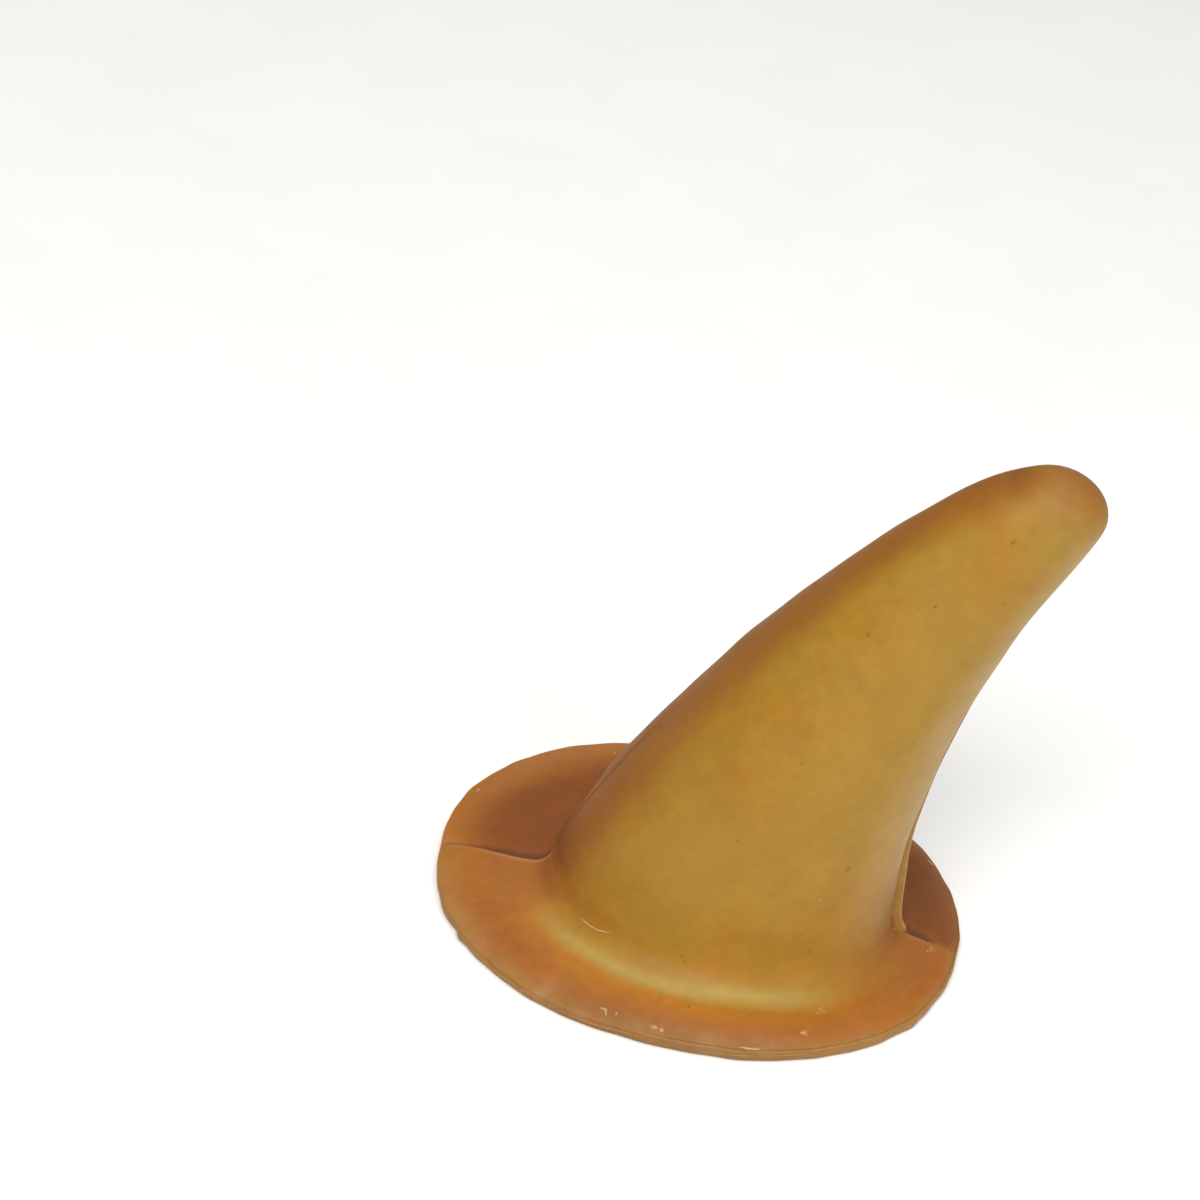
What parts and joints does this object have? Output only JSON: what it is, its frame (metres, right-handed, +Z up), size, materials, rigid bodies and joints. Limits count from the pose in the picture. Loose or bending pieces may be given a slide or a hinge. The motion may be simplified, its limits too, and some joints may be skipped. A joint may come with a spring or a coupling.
{
  "type": "rubber ear",
  "caption": "Hollow moulded rubber costume ear: a curved, blunt-tipped ear on a wide oval flange, open underneath to slip over the wearer's own ear.",
  "frame": {"origin": "centre of the bounding box at the flange's flat underside", "axes": "+Z up, away from the surface that the flange lies on; +X from the flange's heel to its toe, the way the ear leans; +Y across, with the mould's seam in the plane Y = 0"},
  "size_m": [0.11, 0.0896, 0.1175],
  "materials": {
    "rubber": "satin, translucent amber moulded rubber, redder and darker on the flange and along the spine"
  },
  "bodies": {
    "root": {"rubber_ear": "rubber"}
  },
  "joints": []
}
